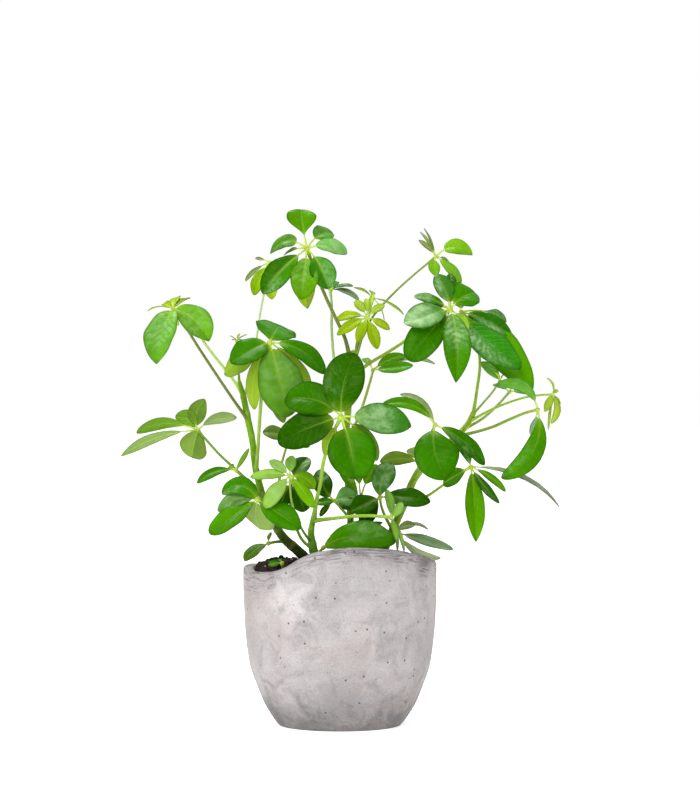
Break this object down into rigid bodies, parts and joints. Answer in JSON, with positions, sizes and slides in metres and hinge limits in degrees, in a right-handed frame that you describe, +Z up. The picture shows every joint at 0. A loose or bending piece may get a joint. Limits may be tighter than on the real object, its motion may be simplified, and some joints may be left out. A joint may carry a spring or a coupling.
{
  "type": "potted umbrella plant",
  "caption": "Dwarf umbrella plant with leaning green stems and long-stalked palmate leaves, potted in soil in a tapered cast concrete pot with a waved rim.",
  "frame": {"origin": "centre of the pot's foot, on the ground", "axes": "+Z up along the pot's axis, -Y towards the front that the picture shows, +X to its right"},
  "size_m": [0.323, 0.1841, 0.3738],
  "materials": {
    "concrete": "matte cast concrete with faint stains and pinholes",
    "potting_soil": "loose, dark and rough",
    "green_stem": "smooth green bark, darker at the foot",
    "mature_leaf": "glossy waxed leaf",
    "mid_leaf": "satin leaf",
    "young_leaf": "satin young leaf, slightly translucent"
  },
  "bodies": {
    "root": {"pot": "concrete", "soil": "potting_soil", "stem_left": "green_stem", "stem_front": "green_stem", "stem_middle": "green_stem", "stem_right": "green_stem", "leaf_top": "mid_leaf", "leaf_top_behind": "young_leaf", "leaf_far_left": "mid_leaf", "leaf_far_left_behind": "young_leaf", "leaf_bud_left": "young_leaf", "leaf_left_upper": "mature_leaf", "leaf_left_reaching": "mid_leaf", "leaf_left_small": "mid_leaf", "leaf_left_low": "mature_leaf", "leaf_young_left": "young_leaf", "leaf_dark_left": "mature_leaf", "leaf_lowest_left": "mature_leaf", "leaf_seedling": "mature_leaf", "leaf_centre": "mature_leaf", "leaf_young_front": "young_leaf", "leaf_young_top": "young_leaf", "leaf_far_top": "mature_leaf", "leaf_far_edge": "young_leaf", "leaf_right_top": "young_leaf", "leaf_right_upper": "mature_leaf", "leaf_right_glossy": "mature_leaf", "leaf_right_inner": "young_leaf", "leaf_side_middle": "mid_leaf", "leaf_right_hidden": "mid_leaf", "leaf_far_right_young": "young_leaf", "leaf_far_right": "mature_leaf", "leaf_right_low": "mature_leaf", "leaf_right_middle": "mature_leaf", "leaf_right_behind": "mid_leaf", "leaf_middle_low": "mature_leaf", "leaf_low_front": "mature_leaf", "leaf_dark_middle": "mature_leaf", "leaf_olive_middle": "mid_leaf", "leaf_back_left": "mid_leaf", "leaf_low_right": "mid_leaf"}
  },
  "joints": []
}
